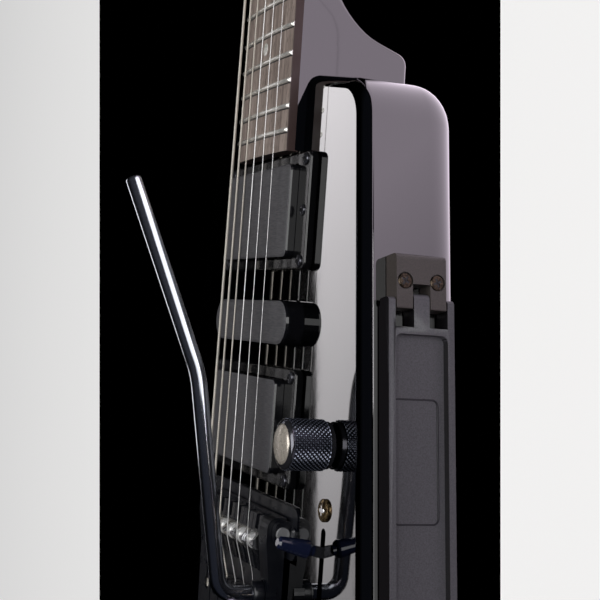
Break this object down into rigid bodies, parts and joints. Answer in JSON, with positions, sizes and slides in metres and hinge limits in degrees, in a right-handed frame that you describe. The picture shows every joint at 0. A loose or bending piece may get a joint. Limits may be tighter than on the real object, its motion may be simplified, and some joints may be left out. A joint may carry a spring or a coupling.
{
  "type": "headless electric guitar",
  "caption": "Headless electric guitar with a neck-through body, three pickups, a tuning tremolo with its arm, control knobs, a lever selector and a fold-out leg rest.",
  "frame": {"origin": "on the flat back face of the body, under the bridge line and on the centre line", "axes": "+X along the strings to the headpiece, +Y to the bass side, +Z out of the body's face"},
  "size_m": [0.792, 0.227, 0.112],
  "materials": {
    "gloss_black_lacquer": "gloss",
    "rosewood": "satin",
    "graphite_nut": "satin",
    "satin_black_cast": "satin",
    "black_nickel_steel": "polished",
    "bright_steel": "polished",
    "plain_string_steel": "polished",
    "wound_string_nickel": "satin",
    "satin_pickup_cover": "satin",
    "gloss_ring_plastic": "gloss",
    "satin_leg_plastic": "satin",
    "gloss_tip_plastic": "gloss"
  },
  "bodies": {
    "body": {"neck_blank": "gloss_black_lacquer", "wing_treble": "gloss_black_lacquer", "wing_bass": "gloss_black_lacquer", "fingerboard": "rosewood", "truss_rod": "black_nickel_steel", "nut": "graphite_nut", "headpiece": "satin_black_cast", "string_1": "plain_string_steel", "string_2": "plain_string_steel", "string_3": "plain_string_steel", "string_4": "wound_string_nickel", "string_5": "wound_string_nickel", "string_6": "wound_string_nickel", "trem_base": "satin_black_cast", "pivot_pin_treble": "black_nickel_steel", "pivot_pin_bass": "black_nickel_steel", "trem_spring": "bright_steel", "neck_pickup_ring": "gloss_ring_plastic", "bridge_pickup_ring": "gloss_ring_plastic", "neck_pickup": "satin_pickup_cover", "middle_pickup": "satin_pickup_cover", "bridge_pickup": "satin_pickup_cover", "volume_pot": "bright_steel", "tone_pot": "bright_steel", "selector_switch": "black_nickel_steel", "output_jack": "bright_steel", "control_cover": "satin_leg_plastic", "leg_bracket": "satin_leg_plastic", "leg_pin": "black_nickel_steel", "strap_button_tail": "black_nickel_steel", "strap_button_neck": "black_nickel_steel"},
    "tremolo": {"trem_carriage": "satin_black_cast", "arm_collar": "black_nickel_steel", "saddle_1": "bright_steel", "saddle_2": "bright_steel", "saddle_3": "bright_steel", "saddle_4": "bright_steel", "saddle_5": "bright_steel", "saddle_6": "bright_steel"},
    "arm": {"trem_arm": "bright_steel"},
    "adjuster": {"spring_adjuster": "black_nickel_steel"},
    "volume": {"volume_knob": "black_nickel_steel"},
    "tone": {"tone_knob": "black_nickel_steel"},
    "selector": {"selector_lever": "black_nickel_steel", "selector_tip": "gloss_tip_plastic"},
    "leg": {"leg_rest": "satin_leg_plastic"},
    "tuner_1": {"tuner_knob_1": "satin_black_cast"},
    "jaw_1": {"tuner_jaw_1": "satin_black_cast"},
    "tuner_2": {"tuner_knob_2": "satin_black_cast"},
    "jaw_2": {"tuner_jaw_2": "satin_black_cast"},
    "tuner_3": {"tuner_knob_3": "satin_black_cast"},
    "jaw_3": {"tuner_jaw_3": "satin_black_cast"},
    "tuner_4": {"tuner_knob_4": "satin_black_cast"},
    "jaw_4": {"tuner_jaw_4": "satin_black_cast"},
    "tuner_5": {"tuner_knob_5": "satin_black_cast"},
    "jaw_5": {"tuner_jaw_5": "satin_black_cast"},
    "tuner_6": {"tuner_knob_6": "satin_black_cast"},
    "jaw_6": {"tuner_jaw_6": "satin_black_cast"}
  },
  "joints": [
    {"name": "trem_tilt", "type": "hinge", "parent": "body", "child": "tremolo", "pos_m": [0.006, 0, 0.045], "axis": [0, 1, 0], "range_deg": [-4, 7], "stiffness_Nm_per_rad": 20, "deforming": ["trem_spring", "string_1", "string_2", "string_3", "string_4", "string_5", "string_6"]},
    {"name": "trem_arm_swivel", "type": "hinge", "parent": "tremolo", "child": "arm", "pos_m": [-0.018, -0.0365, 0.049], "axis": [0, 0, 1], "range_deg": [-180, 30]},
    {"name": "spring_adjuster_turn", "type": "hinge", "parent": "body", "child": "adjuster", "pos_m": [-0.047, 0, 0.022], "axis": [1, 0, 0], "range_deg": [-1080, 1080]},
    {"name": "volume_turn", "type": "hinge", "parent": "body", "child": "volume", "pos_m": [0.0432, -0.0728, 0.041], "axis": [0, 0, 1], "range_deg": [-150, 150]},
    {"name": "tone_turn", "type": "hinge", "parent": "body", "child": "tone", "pos_m": [-0.046, -0.0728, 0.041], "axis": [0, 0, 1], "range_deg": [-150, 150]},
    {"name": "selector_swing", "type": "hinge", "parent": "body", "child": "selector", "pos_m": [-0.0007, -0.0728, 0.017], "axis": [0, 1, 0], "range_deg": [-37.5, 12.5]},
    {"name": "leg_fold", "type": "hinge", "parent": "body", "child": "leg", "pos_m": [0.09608, -0.0959, 0.022], "axis": [0, 0, 1], "range_deg": [0, 95]},
    {"name": "tuner_1_turn", "type": "hinge", "parent": "tremolo", "child": "tuner_1", "pos_m": [-0.047, -0.026, 0.0473], "axis": [1, 0, 0], "range_deg": [-1440, 1440]},
    {"name": "jaw_1_slide", "type": "slide", "parent": "tremolo", "child": "jaw_1", "axis": [-1, 0, 0], "range_m": [-0.00201, 0.00201], "deforming": ["string_1"]},
    {"name": "tuner_2_turn", "type": "hinge", "parent": "tremolo", "child": "tuner_2", "pos_m": [-0.047, -0.0156, 0.0473], "axis": [1, 0, 0], "range_deg": [-1440, 1440]},
    {"name": "jaw_2_slide", "type": "slide", "parent": "tremolo", "child": "jaw_2", "axis": [-1, 0, 0], "range_m": [-0.00201, 0.00201], "deforming": ["string_2"]},
    {"name": "tuner_3_turn", "type": "hinge", "parent": "tremolo", "child": "tuner_3", "pos_m": [-0.047, -0.0052, 0.0473], "axis": [1, 0, 0], "range_deg": [-1440, 1440]},
    {"name": "jaw_3_slide", "type": "slide", "parent": "tremolo", "child": "jaw_3", "axis": [-1, 0, 0], "range_m": [-0.00201, 0.00201], "deforming": ["string_3"]},
    {"name": "tuner_4_turn", "type": "hinge", "parent": "tremolo", "child": "tuner_4", "pos_m": [-0.047, 0.0052, 0.0473], "axis": [1, 0, 0], "range_deg": [-1440, 1440]},
    {"name": "jaw_4_slide", "type": "slide", "parent": "tremolo", "child": "jaw_4", "axis": [-1, 0, 0], "range_m": [-0.00201, 0.00201], "deforming": ["string_4"]},
    {"name": "tuner_5_turn", "type": "hinge", "parent": "tremolo", "child": "tuner_5", "pos_m": [-0.047, 0.0156, 0.0473], "axis": [1, 0, 0], "range_deg": [-1440, 1440]},
    {"name": "jaw_5_slide", "type": "slide", "parent": "tremolo", "child": "jaw_5", "axis": [-1, 0, 0], "range_m": [-0.00201, 0.00201], "deforming": ["string_5"]},
    {"name": "tuner_6_turn", "type": "hinge", "parent": "tremolo", "child": "tuner_6", "pos_m": [-0.047, 0.026, 0.0473], "axis": [1, 0, 0], "range_deg": [-1440, 1440]},
    {"name": "jaw_6_slide", "type": "slide", "parent": "tremolo", "child": "jaw_6", "axis": [-1, 0, 0], "range_m": [-0.00201, 0.00201], "deforming": ["string_6"]}
  ],
  "couplings": [
    {"joint": "jaw_1_slide", "follows": "tuner_1_turn", "m_per_rad": 0.000079577},
    {"joint": "jaw_2_slide", "follows": "tuner_2_turn", "m_per_rad": 0.000079577},
    {"joint": "jaw_3_slide", "follows": "tuner_3_turn", "m_per_rad": 0.000079577},
    {"joint": "jaw_4_slide", "follows": "tuner_4_turn", "m_per_rad": 0.000079577},
    {"joint": "jaw_5_slide", "follows": "tuner_5_turn", "m_per_rad": 0.000079577},
    {"joint": "jaw_6_slide", "follows": "tuner_6_turn", "m_per_rad": 0.000079577}
  ]
}
